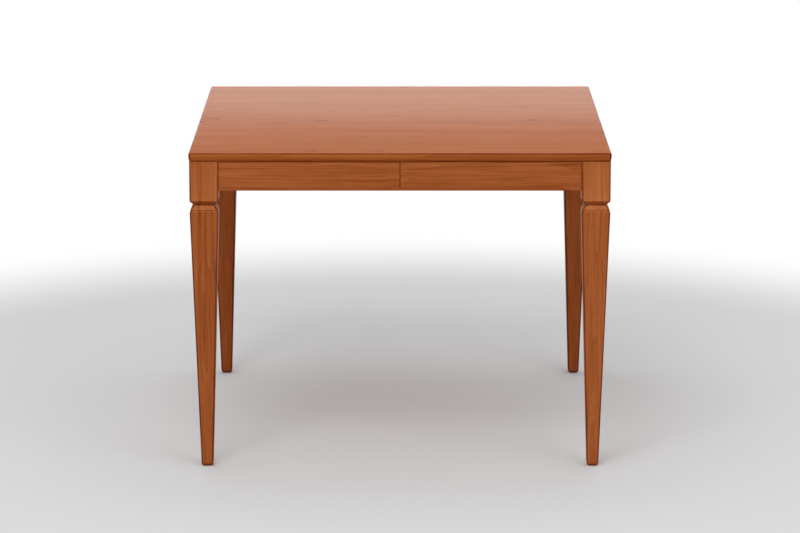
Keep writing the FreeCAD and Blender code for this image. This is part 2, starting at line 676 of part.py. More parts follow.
def drawer_front(label, side):
    """Front board with a finger cove, a groove for the bottom and dovetail grooves for the sides."""
    body = drawer_body(f"{label}_front", side)
    heights = ("0", "(dims.apron_height - dims.front_top_gap)")
    board = block(body, "board", (f"-{FRONT_HALF}", FRONT_HALF), ("0", "dims.front_thickness"), heights)
    round_edges(body, board, "dims.arris_radius", at_level("y", "0"))
    sketch = new_sketch(body, "side_grooves", "XY_Plane", SIDE_HEAD)
    past_back = "dims.front_thickness + dims.cut_overrun"
    for hand in (-1, 1):
        middle = f"{hand} * {SIDE_MID}"
        outline(sketch, [
            (f"{middle} - {TONGUE_NECK}", past_back),
            (f"{middle} - {TONGUE_NECK}", "dims.front_thickness"),
            (f"{middle} - {TONGUE_END}", TONGUE_TIP),
            (f"{middle} + {TONGUE_END}", TONGUE_TIP),
            (f"{middle} + {TONGUE_NECK}", "dims.front_thickness"),
            (f"{middle} + {TONGUE_NECK}", past_back),
        ])
    pocket(body, sketch, f"{SIDE_HEAD} + dims.cut_overrun")
    depth = ("dims.front_thickness - dims.bottom_groove_depth", past_back)
    slot(body, "bottom_groove", (f"-{BOX_INSIDE}", BOX_INSIDE), depth, BOTTOM_GROOVE)
    centre = ("dims.front_thickness", "dims.cove_lift")
    length = "dims.cove_length"
    bore(body, "finger_cove", "YZ_Plane", f"{length} / 2", [centre], "dims.cove_radius", length)
    return body


def drawer_side(label, side, hand):
    """Side with a dovetail tongue in front, tails behind, and grooves for the runner and the bottom."""
    body = drawer_body(label, side)
    middle = f"{hand} * {SIDE_MID}"
    near = f"{middle} - dims.side_thickness / 2"
    far = f"{middle} + dims.side_thickness / 2"
    sketch = new_sketch(body, "outline", "XY_Plane", "dims.side_lift")
    outline(sketch, [
        (near, "dims.front_thickness"),
        (f"{middle} - {TONGUE_NECK}", "dims.front_thickness"),
        (f"{middle} - {TONGUE_END}", TONGUE_TIP),
        (f"{middle} + {TONGUE_END}", TONGUE_TIP),
        (f"{middle} + {TONGUE_NECK}", "dims.front_thickness"),
        (far, "dims.front_thickness"),
        (far, "dims.drawer_length"),
        (near, "dims.drawer_length"),
    ])
    pad(body, sketch, f"{SIDE_HEAD} - dims.side_lift")
    (low_tail, low_tail_top), (high_tail, high_tail_top) = TAILS
    above = f"({SIDE_HEAD} + dims.cut_overrun)"
    sketch = new_sketch(body, "pin_sockets", "YZ_Plane", f"{far} + dims.cut_overrun")
    outline(sketch, [(BACK_FACE, BOTTOM_TOP)] + tail_edge(low_tail, -1) + [(PAST_REAR, BOTTOM_TOP)])
    outline(sketch, tail_edge(low_tail_top, 1) + tail_edge(high_tail, -1)[::-1])
    outline(sketch, tail_edge(high_tail_top, 1) + [(PAST_REAR, above), (BACK_FACE, above)])
    pocket(body, sketch, "dims.side_thickness + dims.cut_overrun * 2")
    groove_floor = f"({BOX_HALF} - dims.runner_groove_depth)"
    groove = (f"{hand} * {groove_floor}", f"{hand} * ({BOX_HALF} + dims.cut_overrun)")
    length = ("dims.front_thickness + dims.rail_gap - dims.runner_end_clearance", PAST_REAR)
    half = "(dims.runner_height / 2 + dims.runner_clearance)"
    slot(body, "runner_groove", groove, length, (f"({RUNNER_LINE} - {half})", f"({RUNNER_LINE} + {half})"))
    groove_floor = f"({BOX_INSIDE} + dims.bottom_groove_depth)"
    groove = (f"{hand} * ({BOX_INSIDE} - dims.cut_overrun)", f"{hand} * {groove_floor}")
    slot(body, "bottom_groove", groove, ("dims.front_thickness", PAST_REAR), BOTTOM_GROOVE)
    return body


def drawer_back(label, side):
    """Back whose pins fit between the sides' tails, drilled for the bottom's screws."""
    body = drawer_body(f"{label}_back", side)
    thickness = (BACK_FACE, "dims.drawer_length")
    block(body, "board", (f"-{BOX_HALF}", BOX_HALF), thickness, (BOTTOM_TOP, SIDE_HEAD))
    for hand, name in ((-1, "left_tails"), (1, "right_tails")):
        sketch = new_sketch(body, name, "YZ_Plane", f"{hand} * {BOX_HALF}")
        before = f"({BACK_FACE} - dims.cut_overrun)"
        for low, high in TAILS:
            tail = tail_edge(low, -1) + tail_edge(high, 1)[::-1]
            outline(sketch, [(before, low)] + tail + [(before, high)])
        pocket(body, sketch, "dims.side_thickness", forwards=hand < 0)
    depth = "dims.drawer_screw_length - dims.bottom_thickness + dims.screw_tip_gap"
    centres = [(x, BACK_MID) for x in BOTTOM_SCREWS_X]
    bore(body, "bottom_pilots", "XY_Plane", BOTTOM_TOP, centres, HOLE_RADIUS, depth, forwards=True)
    return body


def drawer_bottom(label, side):
    """Thin panel in the grooves of front and sides, screwed up to the back's lower edge."""
    body = drawer_body(f"{label}_bottom", side)
    narrow = f"({BOX_INSIDE} - dims.bottom_edge_clearance)"
    wide = f"({BOX_INSIDE} + dims.bottom_groove_depth - dims.bottom_edge_clearance)"
    front_edge = "dims.front_thickness - dims.bottom_groove_depth + dims.bottom_edge_clearance"
    shoulder = "dims.front_thickness + dims.bottom_edge_clearance"
    right = [(narrow, front_edge), (narrow, shoulder), (wide, shoulder), (wide, "dims.drawer_length")]
    left = [(f"-{x}", y) for x, y in reversed(right)]
    sketch = new_sketch(body, "outline", "XY_Plane", BOTTOM_FACE)
    outline(sketch, right + left)
    pad(body, sketch, "dims.bottom_thickness")
    centres = [(x, BACK_MID) for x in BOTTOM_SCREWS_X]
    bore(body, "screw_holes", "XY_Plane", BOTTOM_TOP, centres, HOLE_RADIUS, "dims.bottom_thickness")
    return body


def drawer_stop(label, side):
    """Block glued to the drawer's back that meets the front rail when the drawer is pulled right out."""
    body = drawer_body(f"{label}_stop", side)
    across = ("-dims.stop_width / 2", "dims.stop_width / 2")
    block(body, "board", across, (STOP_FACE, BACK_FACE), (f"({STOP_TOP} - dims.stop_height)", STOP_TOP))
    return body


def drawer_screws(label, side):
    """The screws that hold the bottom to the back."""
    depth = f"{BACK_MID} - {APRON_FACE_Y}"
    height = f"{BOTTOM_FACE} + {APRON_LOW}"
    members = []
    for step, x in enumerate(BOTTOM_SCREWS_X):
        seat = (f"{side} * {DRAWER_MID_X} + {x}", depth, height)
        members.append(screw(f"{label}_screw_{step}", seat, (0, 0, 1), "dims.drawer_screw_length"))
    return group(f"{label}_screws", members)


def drawer(label, side):
    """The pieces of one drawer."""
    return [
        drawer_front(label, side),
        drawer_side(f"{label}_left_side", side, -1),
        drawer_side(f"{label}_right_side", side, 1),
        drawer_back(label, side),
        drawer_bottom(label, side),
        drawer_stop(label, side),
        drawer_screws(label, side),
    ]


def button_group():
    """All the buttons that hold the top."""
    return group("top_buttons", [
        top_button(f"top_button_{step}", x, y, turn) for step, (x, y, turn) in enumerate(BUTTON_SCREWS)
    ])


def frame_screws():
    """The screws through the buttons and the front rail, up into the top."""
    up = (0, 0, 1)
    button_seat = f"{TOP_UNDERSIDE} - dims.button_thickness"
    button_length = "dims.button_thickness + dims.top_screw_bite"
    buttons = [
        screw(f"button_screw_{step}", (x, y, button_seat), up, button_length)
        for step, (x, y, turn) in enumerate(BUTTON_SCREWS)
    ]
    rail_length = "dims.rail_thickness + dims.top_screw_bite"
    rails = [
        screw(f"rail_screw_{step}", (x, y, RAIL_LOW), up, rail_length)
        for step, (x, y) in enumerate(RAIL_SCREWS)
    ]
    return [
        group("button_screws", buttons),
        group("rail_screws", rails),
    ]


def build():
    """All the pieces of the table."""
    half_partition = "dims.partition_thickness / 2"
    pieces = [
        table_top(),
        leg("leg_front_left", -1, -1),
        leg("leg_front_right", 1, -1),
        leg("leg_back_left", -1, 1),
        leg("leg_back_right", 1, 1),
        side_apron("left_apron", -1),
        side_apron("right_apron", 1),
        back_apron(),
        front_rail(),
        cross_rail(),
        centre_partition(),
        batten("left_batten", -1),
        batten("right_batten", 1),
        runner("left_outer_runner", f"-{LEG_INSIDE_X}", OUTER_RUNNER, 1),
        runner("left_inner_runner", f"-{half_partition}", INNER_RUNNER, -1),
        runner("right_inner_runner", half_partition, INNER_RUNNER, 1),
        runner("right_outer_runner", LEG_INSIDE_X, OUTER_RUNNER, -1),
        button_group(),
    ]
    pieces += frame_screws()
    pieces += drawer("left_drawer", -1)
    pieces += drawer("right_drawer", 1)
    return pieces


def check(pieces):
    """Stop if any object of the document failed or a piece has no sound shape."""
    for item in doc.Objects:
        if {"Invalid", "Error"} & set(item.State):
            raise RuntimeError(f"{item.Name} failed: {item.State}")
    for piece in pieces:
        if piece.Shape.isNull() or not piece.Shape.isValid():
            raise RuntimeError(f"{piece.Label} has no valid shape")


pieces = build()
doc.recompute()
check(pieces)
os.makedirs("parts", exist_ok=True)
for piece in pieces:
    piece.Shape.exportStep(f"parts/{piece.Label}.step")
    box = piece.Shape.BoundBox
    size = f"{box.XLength:.1f} x {box.YLength:.1f} x {box.ZLength:.1f}"
    print(f"{piece.Label}: {len(piece.Shape.Solids)} solids, {size}")
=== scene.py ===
# %% [markdown]
# # A tavern table with two drawers
#
# The table is a square top on four tapered legs, stained a reddish cherry brown and varnished to a satin.
# Two drawers without handles fill its front apron and are pulled by their lower edge. The construction is
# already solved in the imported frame: every board, tenon and runner is there at its real size. This lesson
# dresses it. Some pieces get finer meshes, every board gets a wood of its own, and the screws get their
# steel.

# %% Load the frame and keep its box
import json
import math

import bpy
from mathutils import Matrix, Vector


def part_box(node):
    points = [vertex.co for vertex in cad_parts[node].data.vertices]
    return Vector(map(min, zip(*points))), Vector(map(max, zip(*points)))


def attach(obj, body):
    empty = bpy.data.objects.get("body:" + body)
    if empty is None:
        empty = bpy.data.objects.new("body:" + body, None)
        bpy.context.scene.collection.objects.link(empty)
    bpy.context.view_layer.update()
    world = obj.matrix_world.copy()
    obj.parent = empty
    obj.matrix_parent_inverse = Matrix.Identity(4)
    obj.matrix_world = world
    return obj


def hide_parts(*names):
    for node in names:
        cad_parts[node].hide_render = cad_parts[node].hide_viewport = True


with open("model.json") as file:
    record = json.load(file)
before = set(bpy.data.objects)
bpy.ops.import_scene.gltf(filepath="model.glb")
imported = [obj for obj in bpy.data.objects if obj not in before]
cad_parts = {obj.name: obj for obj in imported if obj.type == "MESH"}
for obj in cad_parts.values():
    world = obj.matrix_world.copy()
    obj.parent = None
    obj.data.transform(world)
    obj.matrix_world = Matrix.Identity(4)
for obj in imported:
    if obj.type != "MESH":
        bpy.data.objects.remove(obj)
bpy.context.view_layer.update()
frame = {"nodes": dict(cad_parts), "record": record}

nodes = frame["nodes"]
slots = {part["node"]: part["material_slot"] for part in frame["record"]["subparts"]}


# %% [markdown]
# ## The camera
#
# The table is seen straight from the front and from a little above, with a long lens that keeps the sides
# almost parallel. Height, distance and tilt were found by fitting the corners of the top and the feet to
# their places in the picture. A camera that is tilted a little needs no lens shift, so the same camera
# works from every other side.

# %% Place the camera
CAMERA_PLACE = Vector((0.0, -8.376, 2.199))
CAMERA_TILT = math.radians(12.19)
CAMERA_LENS_MM = 152.6
SENSOR_WIDTH_MM = 36.0

camera_data = bpy.data.cameras.new("camera")
camera_data.lens = CAMERA_LENS_MM
camera_data.sensor_width = SENSOR_WIDTH_MM
camera = bpy.data.objects.new("camera", camera_data)
camera.location = CAMERA_PLACE
camera.rotation_euler = (math.pi / 2 - CAMERA_TILT, 0.0, 0.0)
bpy.context.scene.collection.objects.link(camera)
bpy.context.scene.camera = camera
print("camera at", tuple(CAMERA_PLACE), "lens", CAMERA_LENS_MM)

# %% [markdown]
# ## Shapes made of rings
#
# The top and the legs have the same kind of shape: a square with rounded corners that changes its size as
# it rises. Blender's Bevel modifier could round a plain block, but the legs' collar has many small edges
# that meet in corners, where a bevel folds over itself. Stacking rings and joining each to the next gives
# clean rows of four-sided faces, and each ring can say how dark it is, from its stain and from painted
# light and shade. That value goes into the mesh as an attribute named edge_tone, for the wood to read later.

# %% Ring and skin helpers
CORNER_STEPS = 6
CORNER_STAIN = 1.7
SHARP_ANGLE = math.radians(40)


def ring(middle, half_x, half_y, radius, height, tone):
    """Points of a rounded rectangle, each with its tone, from stain and painted light and shade, which is
    darker round the corners.
    """
    points = []
    for corner in range(4):
        side_x = (1, -1, -1, 1)[corner]
        side_y = (1, 1, -1, -1)[corner]
        for step in range(CORNER_STEPS + 1):
            share = step / CORNER_STEPS
            angle = (corner + share) * math.pi / 2
            x = side_x * (half_x - radius) + radius * math.cos(angle)
            y = side_y * (half_y - radius) + radius * math.sin(angle)
            corner_tone = min(1.0, CORNER_STAIN * math.sin(share * math.pi))
            points.append((middle + Vector((x, y, height)), tone + corner_tone * (1.0 - tone)))
    return points


def skin(name, stacks):
    """Piece of one or more closed shells, each given as a stack of rings from the lowest to the highest."""
    vertices = []
    tones = []
    faces = []
    for rings in stacks:
        count = len(rings[0])
        first = len(vertices)
        for level, points in enumerate(rings):
            capped = level in (0, len(rings) - 1)
            vertices += [point for point, tone in points]
            tones += [0.0 if capped else tone for point, tone in points]
        last = len(vertices) - count
        for low in range(first, last, count):
            for step in range(count):
                after = (step + 1) % count
                faces.append((low + step, low + after, low + count + after, low + count + step))
        faces.append(tuple(reversed(range(first, first + count))))
        faces.append(tuple(range(last, last + count)))
    mesh = bpy.data.meshes.new(name)
    mesh.from_pydata(vertices, [], faces)
    mesh.shade_smooth()
    mesh.set_sharp_from_angle(angle=SHARP_ANGLE)
    mesh.attributes.new("edge_tone", "FLOAT", "POINT").data.foreach_set("value", tones)
    piece = bpy.data.objects.new(name, mesh)
    bpy.context.scene.collection.objects.link(piece)
    piece.modifiers.new("flat faces stay flat", "WEIGHTED_NORMAL").keep_sharp = True
    return piece


# %% [markdown]
# ## The top
#
# One wide board, 20 mm thick, with its edges rounded over, more gently below than above. Each rounding is
# a quarter turn of rings. The stain is dark in the middle of the upper one. The lower one is painted with
# shade that deepens towards the underside, and a thin painted highlight lies at the foot of the upper one.

# %% Make the top
TOP_CORNER = 0.005
TOP_INSET = 0.004
UPPER_ROUNDING = 0.004
LOWER_ROUNDING = 0.014
ROUNDING_STEPS = 6
# The lower rounding is painted with shade that deepens downwards, and a thin highlight is painted at the
# foot of the upper one
LOWER_PAINTED_SHADE = 1.2
UPPER_STAIN = 1.3
EDGE_HIGHLIGHT = 0.4
EDGE_HIGHLIGHT_NARROWNESS = 8


def lower_painted_shade(angle):
    """Painted shade of the lower rounding, which deepens towards the underside."""
    return LOWER_PAINTED_SHADE - math.cos(angle)


def upper_stain_and_highlight(angle):
    """Stain of the upper rounding, dark in its middle, with a painted highlight at its foot."""
    return min(1.0, UPPER_STAIN * math.sin(2 * angle)) - EDGE_HIGHLIGHT * math.cos(angle) ** EDGE_HIGHLIGHT_NARROWNESS


def top_rings():
    """Rings of the top from its underside to its upper face, about its own middle."""
    low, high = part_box("table_top")
    half_x = (high.x - low.x) / 2
    half_y = (high.y - low.y) / 2
    rings = []
    lower = (low.z + LOWER_ROUNDING, LOWER_ROUNDING, -90, lower_painted_shade)
    upper = (high.z - UPPER_ROUNDING, UPPER_ROUNDING, 0, upper_stain_and_highlight)
    # The lower rounding's tone is painted shade, and the upper one's is stain with a painted highlight at
    # its foot
    for level, rounding, first_angle, stain in (lower, upper):
        for step in range(ROUNDING_STEPS + 1):
            angle = math.radians(first_angle + 90 * step / ROUNDING_STEPS)
            inset = TOP_INSET * (1 - math.cos(angle))
            height = level + rounding * math.sin(angle)
            outline = (half_x - inset, half_y - inset, TOP_CORNER - inset, height, stain(angle))
            rings.append(ring(Vector(), *outline))
    return rings


top = skin("top_board", [top_rings()])
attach(top, "frame")
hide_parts("table_top")
print("top board:", len(top.data.polygons), "faces")

# %% [markdown]
# ## The outline of a leg
#
# Each leg is a square block where the aprons join, then a collar cut like a sharp neck, and below it a
# straight taper on all four sides down to a small rounded foot. It could be cut from a block edge by edge,
# but all four sides are alike, so a short list of points says the same. Light and shade are painted into
# the tones of its faces. The block is painted lighter than the taper, as light falls from above. In the
# collar, the sunk neck and the bevel that faces down under the block carry painted shade, and the face
# that rises from the lip to the neck faces up and carries painted light.

# %% Draw the outline of a leg
LEG_LOW, LEG_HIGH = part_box("leg_front_left")
LEG_TOP = LEG_HIGH.z
LEG_HALF = (LEG_HIGH.x - LEG_LOW.x) / 2
BLOCK_HEIGHT = 0.096
BEVEL_HEIGHT = 0.0087
NECK_HEIGHT = 0.0015
FLARE_HEIGHT = 0.0105
LIP_HEIGHT = 0.0075
NECK_DEPTH = 0.0085
LIP_DEPTH = 0.0021
FOOT_HALF = 0.014
BLOCK_LOW = LEG_TOP - BLOCK_HEIGHT
NECK_TOP = BLOCK_LOW - BEVEL_HEIGHT
NECK_LOW = NECK_TOP - NECK_HEIGHT
LIP_TOP = NECK_LOW - FLARE_HEIGHT
TAPER_TOP = LIP_TOP - LIP_HEIGHT

# Height, half width, reach of the eased curve, darkness in the eased edge and darkness on the face above it,
# from stain and from painted light and shade
LEG_OUTLINE = [
    (0.0, FOOT_HALF, 0.009, 0.8, 0.1),
    (TAPER_TOP, LEG_HALF, 0.0016, 0.35, 0.0),
    # The face above the lip faces up and is painted lighter
    (LIP_TOP, LEG_HALF - LIP_DEPTH, 0.0012, 0.7, -0.45),
    # The sunk neck is painted dark with shade, in its corner and on its face
    (NECK_LOW, LEG_HALF - NECK_DEPTH, 0.0005, 1.0, 1.0),
    # The neck's upper corner is painted dark, and the bevel above it, which faces down under the block, is
    # painted with shade
    (NECK_TOP, LEG_HALF - NECK_DEPTH, 0.0005, 1.0, 0.4),
    # The block's face is painted lighter than the taper, as light falls from above
    (BLOCK_LOW, LEG_HALF, 0.0016, 0.8, -0.32),
]
print("outline of a leg:", len(LEG_OUTLINE), "corners")

# %% [markdown]
# ## The legs
#
# No edge of a finished leg is quite sharp, because sandpaper eases it. A Bevel modifier would ease them all
# by the same amount. Here each corner of the outline gives way to a small curve with a reach of its own, and
# every point of the curve becomes a ring. The four legs have the same shape and differ in where they stand.

# %% Make the legs
LEG_CORNER = 0.004
CORNER_LIMIT_SHARE = 1 / 3
EASE_STEPS = 4


def eased(before, point, after, reach):
    """Points of a small curve in place of an outline's corner, each with its share of the way."""
    start = point + (before - point).normalized() * reach
    end = point + (after - point).normalized() * reach
    for step in range(EASE_STEPS + 1):
        share = step / EASE_STEPS
        yield start * (1 - share) ** 2 + point * 2 * share * (1 - share) + end * share**2, share


def leg_rings(axis):
    """Rings of a leg from its foot to the top of its block."""
    outline = [Vector((half, height)) for height, half, reach, edge, face in LEG_OUTLINE]
    outline = [Vector((0.0, 0.0))] + outline + [Vector((LEG_HALF, LEG_TOP))]
    rings = []
    face_below = 0.0
    for place, (height, half, reach, edge, face) in enumerate(LEG_OUTLINE, start=1):
        for point, share in eased(outline[place - 1], outline[place], outline[place + 1], reach):
            plain = face_below + (face - face_below) * share
            tone = plain + (edge - plain) * math.sin(share * math.pi)
            corner = min(LEG_CORNER, point.x * CORNER_LIMIT_SHARE)
            rings.append(ring(axis, point.x, point.x, corner, point.y, tone))
        face_below = face
    rings.append(ring(axis, LEG_HALF, LEG_HALF, LEG_CORNER, LEG_TOP, face_below))
    return rings


LEG_NODES = ["leg_front_left", "leg_front_right", "leg_back_left", "leg_back_right"]
legs = {}
for leg_node in LEG_NODES:
    leg_low, leg_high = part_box(leg_node)
    leg_axis = (leg_low + leg_high) / 2
    leg_axis.z = 0.0
    leg = skin(leg_node.replace("leg_", "tapered_leg_"), [leg_rings(leg_axis)])
    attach(leg, "frame")
    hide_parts(leg_node)
    legs[leg_node] = leg
print("legs:", len(legs), "with", len(leg.data.polygons), "faces each")

# %% [markdown]
# ## The heads of the screws
#
# Slotted wood screws hold the top down from below and each drawer's bottom to its back. A screw is turned
# on a lathe, so it can be made of rings too, this time round ones. The head is a disc with two half-moons
# on it, and the slot is the space between them, which is simpler than cutting it out afterwards.

# %% Shape the head of a screw
SCREW_SIDES = 16
HEAD_RADIUS = 0.004
HEAD_HEIGHT = 0.0025
HEAD_CHAMFER = 0.0004
CHAMFER_SHARE = 0.12
HALF_MIDDLE_SHARE = 0.45
DISC_SHARE = 0.98
SLOT_DEPTH = 0.0011
SLOT_HALF = 0.0005
OVERLAP = 0.0002


def circle(foot, height, radii):
    """Points of a round ring above a screw's foot, with a radius for each of its sides."""
    points = []
    for side, radius in enumerate(radii):
        angle = side / SCREW_SIDES * 2 * math.pi
        points.append((foot + Vector((radius * math.cos(angle), radius * math.sin(angle), height)), 0.0))
    return points


def half_moon(foot, side, height, shrink, tone):
    """Points of the half of a head beside the slot, drawn in towards its own middle by a share."""
    start = math.asin(SLOT_HALF / HEAD_RADIUS)
    heart = Vector((0.0, HEAD_RADIUS * HALF_MIDDLE_SHARE, 0.0))
    points = []
    for step in range(SCREW_SIDES + 1):
        angle = start + (math.pi - 2 * start) * step / SCREW_SIDES
        point = Vector((HEAD_RADIUS * math.cos(angle), HEAD_RADIUS * math.sin(angle), 0.0))
        points.append((foot + side * point.lerp(heart, shrink) + Vector((0.0, 0.0, height)), tone))
    return points


def head_stacks(foot):
    """Shells of a head that faces down: two half-moons and the disc behind them."""
    for side in (1, -1):
        yield [
            half_moon(foot, side, 0.0, CHAMFER_SHARE, 0.0),
            half_moon(foot, side, HEAD_CHAMFER, 0.0, 1.0),
            half_moon(foot, side, SLOT_DEPTH + OVERLAP, 0.0, 0.0),
        ]
    disc = [DISC_SHARE * HEAD_RADIUS] * SCREW_SIDES
    yield [circle(foot, SLOT_DEPTH, disc), circle(foot, HEAD_HEIGHT, disc)]


# %% [markdown]
# ## The threads of the screws
#
# Above the head comes a plain length of shank, then the thread and a point. Blender's Screw modifier could
# wind a thread, but it would have to be joined to the core. Here the thread is a ridge on the core's own
# rings that climbs one pitch in each turn, and the rings shrink towards the point.

# %% Shape the shank of a screw
SHANK_RADIUS = 0.0016
PLAIN_SHARE = 0.35
THREAD_CORE = 0.0012
THREAD_RIDGE = 0.00055
THREAD_PITCH = 0.0022
THREAD_ROWS = 5
RIDGE_STEEPNESS = 4.0
POINT_LENGTH = 0.005
POINT_SHARE = 0.08


def thread_radius(height, turn, length):
    """Distance of the thread's surface from the axis, which falls away in the point."""
    phase = (height / THREAD_PITCH - turn) % 1.0
    ridge = max(0.0, 1.0 - RIDGE_STEEPNESS * abs(phase - 0.5))
    taper = min(1.0, max(POINT_SHARE, (length - height) / POINT_LENGTH))
    return (THREAD_CORE + THREAD_RIDGE * ridge) * taper


def shank_rings(foot, length):
    """Rings of a shank from just inside the head up to the point."""
    plain_end = HEAD_HEIGHT + PLAIN_SHARE * (length - HEAD_HEIGHT)
    plain = [SHANK_RADIUS] * SCREW_SIDES
    rings = [circle(foot, HEAD_HEIGHT - OVERLAP, plain), circle(foot, plain_end, plain)]
    rows = round((length - plain_end) * THREAD_ROWS / THREAD_PITCH)
    turns = [side / SCREW_SIDES for side in range(SCREW_SIDES)]
    for row in range(1, rows + 1):
        height = plain_end + (length - plain_end) * row / rows
        rings.append(circle(foot, height, [thread_radius(height, turn, length) for turn in turns]))
    return rings


# %% [markdown]
# ## Where the screws sit
#
# In the frame, a screw is a plain head on a plain shank, and each set of screws is one piece. Their places
# could be typed in again, but then a change in the frame would leave them behind. So the lowest points of a
# set are gathered into the rims of its heads, and a screw of the same length goes on the middle of each rim.

# %% Make the screws
RIM_REACH = 3 * HEAD_RADIUS


def screw_feet(node):
    """Middles of the screw heads of a node, each found from the rim of its lowest face."""
    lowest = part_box(node)[0].z
    rims = []
    for vertex in nodes[node].data.vertices:
        point = nodes[node].matrix_world @ vertex.co
        if point.z > lowest + OVERLAP:
            continue
        for rim in rims:
            if (rim[0] - point).length < RIM_REACH:
                rim.append(point)
                break
        else:
            rims.append([point])
    for rim in rims:
        across = [point.x for point in rim]
        deep = [point.y for point in rim]
        yield Vector(((min(across) + max(across)) / 2, (min(deep) + max(deep)) / 2, rim[0].z))


SCREW_BODIES = {
    "button_screws": "frame",
    "rail_screws": "frame",
    "left_drawer_screws": "left_drawer",
    "right_drawer_screws": "right_drawer",
}
screws = []
for screw_node, body in SCREW_BODIES.items():
    feet = list(screw_feet(screw_node))
    screw_low, screw_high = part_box(screw_node)
    stacks = []
    for foot in feet:
        stacks += [*head_stacks(foot), shank_rings(foot, screw_high.z - screw_low.z)]
    screw_set = skin("slotted_" + screw_node, stacks)
    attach(screw_set, body)
    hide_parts(screw_node)
    screws.append(screw_set)
    print(screw_node, "has", len(feet), "screws")

# %% [markdown]
# ## Eased boards
#
# A joiner takes the sharpness off every board with a stroke of sandpaper. The boards that come straight
# from the frame get this by modifiers: one joins the corners of their faces, and a bevel half a millimetre
# wide follows. The drawer fronts already have rounded edges. The rail, the buttons and the drawer bottoms
# stay crisp, because a bevel folds over itself where the long thin faces beside a screw hole meet it.

# %% Ease the boards
EASED_EDGE = 0.0005
EASED_SEGMENTS = 2
EASED_ANGLE = math.radians(35)
JOIN_REACH = 0.000001
CRISP_ENDINGS = ("drawer_front", "drawer_bottom", "front_rail", "top_buttons")

remade = ["table_top", *LEG_NODES, *SCREW_BODIES]
boards = [node for node in nodes if node not in remade]
eased_boards = [node for node in boards if not node.endswith(CRISP_ENDINGS)]
for node in eased_boards:
    nodes[node].modifiers.new("join the corners", "WELD").merge_threshold = JOIN_REACH
    easing = nodes[node].modifiers.new("eased edges", "BEVEL")
    easing.width = EASED_EDGE
    easing.segments = EASED_SEGMENTS
    easing.limit_method = "ANGLE"
    easing.angle_limit = EASED_ANGLE
    nodes[node].modifiers.new("flat faces stay flat", "WEIGHTED_NORMAL").mode = "FACE_AREA"
print("eased boards:", len(eased_boards), "of", len(boards))

# %% [markdown]
# ## How a wood is put together
#
# A wood material is mostly one idea repeated: noise that is stretched a long way along the board. Broad
# noise gives bands of lighter and darker timber, fine noise gives streaks, very fine noise gives pores, and
# the contour lines of a smooth noise give the arched lines of the year rings. Image textures could do
# this too, but noise in three dimensions also runs round the edges of a board and shows end grain.

# %% Node helpers


def add_node(tree, kind, inputs, **settings):
    """New shader node. An input that is a socket is linked, and any other value is set."""
    node = tree.nodes.new(kind)
    for name, value in settings.items():
        setattr(node, name, value)
    for name, value in inputs.items():
        if isinstance(value, bpy.types.NodeSocket):
            tree.links.new(value, node.inputs[name])
        else:
            node.inputs[name].default_value = value
    return node


def calculate(tree, operation, *values):
    """Result of a math node."""
    return add_node(tree, "ShaderNodeMath", dict(enumerate(values)), operation=operation).outputs[0]


def calculate_vector(tree, operation, *values):
    """Result of a vector math node."""
    return add_node(tree, "ShaderNodeVectorMath", dict(enumerate(values)), operation=operation).outputs[0]


def fade(tree, value, low, high, at_low=0.0, at_high=1.0):
    """Smooth passage from one value at low to another at high."""
    inputs = {0: value, 1: low, 2: high, 3: at_low, 4: at_high}
    return add_node(tree, "ShaderNodeMapRange", inputs, interpolation_type="SMOOTHSTEP").outputs[0]


def new_tree(holder):
    """Empty node tree of a new material or world."""
    holder.use_nodes = True
    holder.node_tree.nodes.clear()
    return holder.node_tree


def stretched_noise(tree, vector, along, scale, detail, roughness):
    """Noise whose spots are drawn out along the board, which lies along the third axis."""
    drawn = calculate_vector(tree, "MULTIPLY", vector, (1.0, 1.0, along))
    inputs = {"Vector": drawn, "Scale": scale, "Detail": detail, "Roughness": roughness}
    return add_node(tree, "ShaderNodeTexNoise", inputs).outputs[0]


# %% [markdown]
# ## From a number to a surface
#
# Whatever the noises add up to is one number for each point. A colour ramp turns that number into a stain
# or a metal, and a Bump node turns another into a relief that is too fine to model. Both go into Blender's
# Principled shader, which serves wood and steel alike, so one function can finish every material.

# %% Surface helpers
RELIEF_DEPTH = 0.0003


def coloured(tree, tone, colours):
    """Colour for a tone, from a ramp through a list of places and colours."""
    ramp = add_node(tree, "ShaderNodeValToRGB", {0: tone})
    for place, colour in colours[1:-1]:
        ramp.color_ramp.elements.new(place)
    for element, (place, colour) in zip(ramp.color_ramp.elements, colours):
        element.position = place
        element.color = (*colour, 1.0)
    return ramp.outputs[0]


def finish_surface(tree, height, bump, **inputs):
    """Surface with a fine relief, joined to the material's output."""
    ground = {"Height": height, "Strength": bump, "Distance": RELIEF_DEPTH}
    relief = add_node(tree, "ShaderNodeBump", ground)
    sockets = {name.replace("_", " "): value for name, value in inputs.items()}
    sockets["Normal"] = relief.outputs[0]
    surface = add_node(tree, "ShaderNodeBsdfPrincipled", sockets)
    add_node(tree, "ShaderNodeOutputMaterial", {"Surface": surface.outputs[0]})


# %% [markdown]
# ## Arrow-shaped flecks
#
# Here and there a small arrowhead shows in the timber, where a year ring just reaches the surface. Noise
# can't draw it, because each one has the same shape. A Voronoi texture scatters points and can tell where
# the nearest one lies. The way to that point, along the board and across it, draws the head and its fading
# tail.

# %% Make the flecks
FLECK_STEP_ALONG = 0.26
FLECK_STEP_ACROSS = 0.18
FLECK_CURVE = 220.0
FLECK_LENGTH = 0.032
FLECK_HALF_WIDTH = 0.022
FLECK_FRONT = (-0.003, 0.004)


